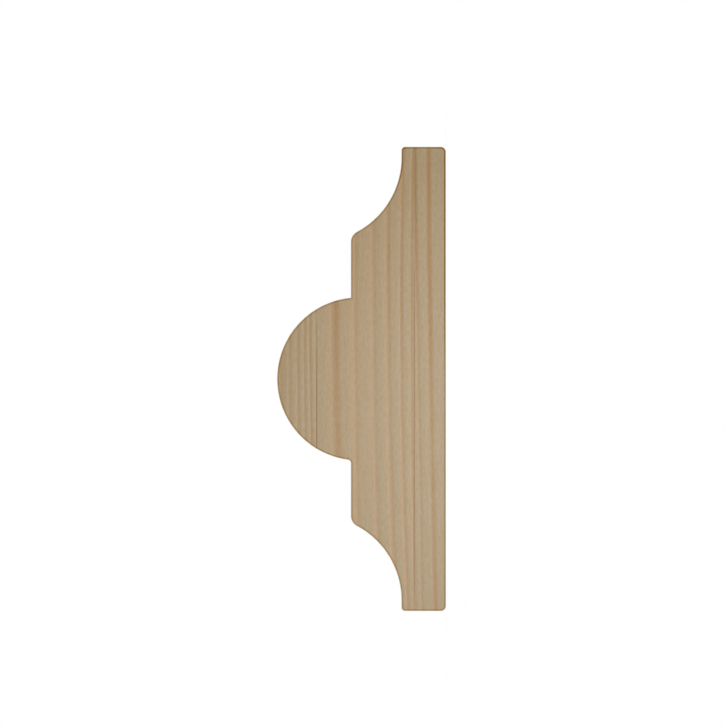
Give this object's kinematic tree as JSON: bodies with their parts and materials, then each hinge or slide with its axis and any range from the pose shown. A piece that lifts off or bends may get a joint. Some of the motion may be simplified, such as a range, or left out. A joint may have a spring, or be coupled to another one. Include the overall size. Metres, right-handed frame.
{
  "type": "astragal moulding",
  "caption": "Length of softwood trim moulding: a half-round bead between flats and scooped coves on a flat back, planted on doors, panels and furniture.",
  "frame": {"origin": "middle of the flat back, halfway along the length", "axes": "+Y along the length, +Z out of the back towards the crown of the bead, X across the width"},
  "size_m": [0.033, 2.4, 0.012],
  "materials": {
    "planed_pine": "matte, planed and bare"
  },
  "bodies": {
    "root": {"astragal_moulding": "planed_pine"}
  },
  "joints": []
}
